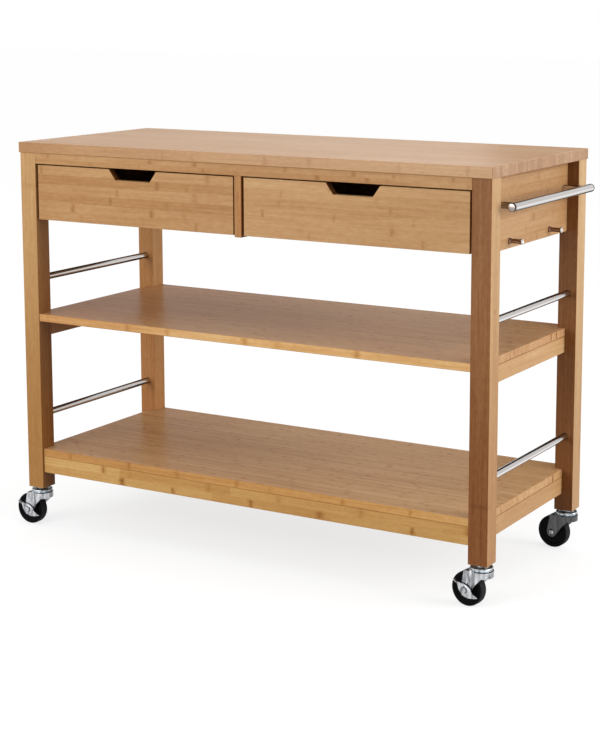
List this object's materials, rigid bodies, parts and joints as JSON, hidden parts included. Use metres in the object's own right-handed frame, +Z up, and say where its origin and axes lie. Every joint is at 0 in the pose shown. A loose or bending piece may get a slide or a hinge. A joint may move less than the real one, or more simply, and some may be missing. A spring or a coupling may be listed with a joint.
{
  "type": "rolling kitchen island",
  "caption": "Rolling kitchen island with a thick wooden worktop, drawers with finger notches, open shelves, end guard rods, a towel bar and braked swivel casters.",
  "frame": {"origin": "On the floor, below the middle of the worktop.", "axes": "+X is to the right as seen from the front, +Y is to the back and +Z is up, so the drawer fronts face -Y."},
  "size_m": [1.2965, 0.5093, 0.928],
  "materials": {
    "bamboo": "satin lacquered bamboo",
    "brushed_steel": "brushed stainless steel",
    "zinc_plate": "bright zinc plate",
    "black_rubber": "black hard rubber"
  },
  "bodies": {
    "frame": {"worktop": "bamboo", "front_rail": "bamboo", "back_panel": "bamboo", "side_panel_left": "bamboo", "side_panel_right": "bamboo", "centre_divider": "bamboo", "middle_shelf": "bamboo", "bottom_shelf": "bamboo", "middle_rail_left": "bamboo", "middle_rail_right": "bamboo", "apron_left": "bamboo", "apron_right": "bamboo", "apron_front": "bamboo", "apron_rear": "bamboo", "guard_rod_left_lower": "brushed_steel", "guard_rod_left_upper": "brushed_steel", "guard_rod_right_lower": "brushed_steel", "guard_rod_right_upper": "brushed_steel", "towel_bar": "brushed_steel", "towel_bar_posts": "brushed_steel", "pegs": "brushed_steel", "worktop_brackets": "zinc_plate", "bracket_screws": "zinc_plate", "fixed_runners": "zinc_plate", "caster_balls": "zinc_plate", "leg_front_left": "bamboo", "caster_front_left_pivot": "zinc_plate", "leg_front_right": "bamboo", "caster_front_right_pivot": "zinc_plate", "leg_rear_left": "bamboo", "caster_rear_left_pivot": "zinc_plate", "leg_rear_right": "bamboo", "caster_rear_right_pivot": "zinc_plate"},
    "drawer_left": {"drawer_left_front": "bamboo", "drawer_left_side_left": "bamboo", "drawer_left_side_right": "bamboo", "drawer_left_back": "bamboo", "drawer_left_bottom": "bamboo", "drawer_left_runners": "zinc_plate"},
    "drawer_right": {"drawer_right_front": "bamboo", "drawer_right_side_left": "bamboo", "drawer_right_side_right": "bamboo", "drawer_right_back": "bamboo", "drawer_right_bottom": "bamboo", "drawer_right_runners": "zinc_plate"},
    "swivel_front_left": {"caster_front_left_fork": "zinc_plate", "caster_front_left_axle": "zinc_plate"},
    "wheel_front_left": {"caster_front_left_wheel": "black_rubber"},
    "brake_front_left": {"caster_front_left_brake_lever": "zinc_plate"},
    "swivel_front_right": {"caster_front_right_fork": "zinc_plate", "caster_front_right_axle": "zinc_plate"},
    "wheel_front_right": {"caster_front_right_wheel": "black_rubber"},
    "brake_front_right": {"caster_front_right_brake_lever": "zinc_plate"},
    "swivel_rear_left": {"caster_rear_left_fork": "zinc_plate", "caster_rear_left_axle": "zinc_plate"},
    "wheel_rear_left": {"caster_rear_left_wheel": "black_rubber"},
    "swivel_rear_right": {"caster_rear_right_fork": "zinc_plate", "caster_rear_right_axle": "zinc_plate"},
    "wheel_rear_right": {"caster_rear_right_wheel": "black_rubber"}
  },
  "joints": [
    {"name": "drawer_left_slide", "type": "slide", "parent": "frame", "child": "drawer_left", "axis": [0, -1, 0], "range_m": [0, 0.33]},
    {"name": "drawer_right_slide", "type": "slide", "parent": "frame", "child": "drawer_right", "axis": [0, -1, 0], "range_m": [0, 0.33]},
    {"name": "caster_front_left_swivel", "type": "hinge", "parent": "frame", "child": "swivel_front_left", "pos_m": [-0.58525, -0.22875, 0.08], "axis": [0, 0, 1], "continuous": true},
    {"name": "caster_front_left_roll", "type": "hinge", "parent": "swivel_front_left", "child": "wheel_front_left", "pos_m": [-0.61625, -0.22929, 0.0375], "axis": [-0.0175, 0.9998, 0], "continuous": true},
    {"name": "caster_front_left_brake", "type": "hinge", "parent": "swivel_front_left", "child": "brake_front_left", "pos_m": [-0.61625, -0.22929, 0.0375], "axis": [0.0175, -0.9998, 0], "range_deg": [0, 20]},
    {"name": "caster_front_right_swivel", "type": "hinge", "parent": "frame", "child": "swivel_front_right", "pos_m": [0.58525, -0.22875, 0.08], "axis": [0, 0, 1], "continuous": true},
    {"name": "caster_front_right_roll", "type": "hinge", "parent": "swivel_front_right", "child": "wheel_front_right", "pos_m": [0.55455, -0.22444, 0.0375], "axis": [0.1392, 0.9903, 0], "continuous": true},
    {"name": "caster_front_right_brake", "type": "hinge", "parent": "swivel_front_right", "child": "brake_front_right", "pos_m": [0.55455, -0.22444, 0.0375], "axis": [-0.1392, -0.9903, 0], "range_deg": [0, 20]},
    {"name": "caster_rear_left_swivel", "type": "hinge", "parent": "frame", "child": "swivel_rear_left", "pos_m": [-0.58525, 0.22875, 0.08], "axis": [0, 0, 1], "continuous": true},
    {"name": "caster_rear_left_roll", "type": "hinge", "parent": "swivel_rear_left", "child": "wheel_rear_left", "pos_m": [-0.61621, 0.23037, 0.0375], "axis": [0.0523, 0.9986, 0], "continuous": true},
    {"name": "caster_rear_right_swivel", "type": "hinge", "parent": "frame", "child": "swivel_rear_right", "pos_m": [0.58525, 0.22875, 0.08], "axis": [0, 0, 1], "continuous": true},
    {"name": "caster_rear_right_roll", "type": "hinge", "parent": "swivel_rear_right", "child": "wheel_rear_right", "pos_m": [0.55445, 0.23226, 0.0375], "axis": [0.1132, 0.9936, 0], "continuous": true}
  ]
}
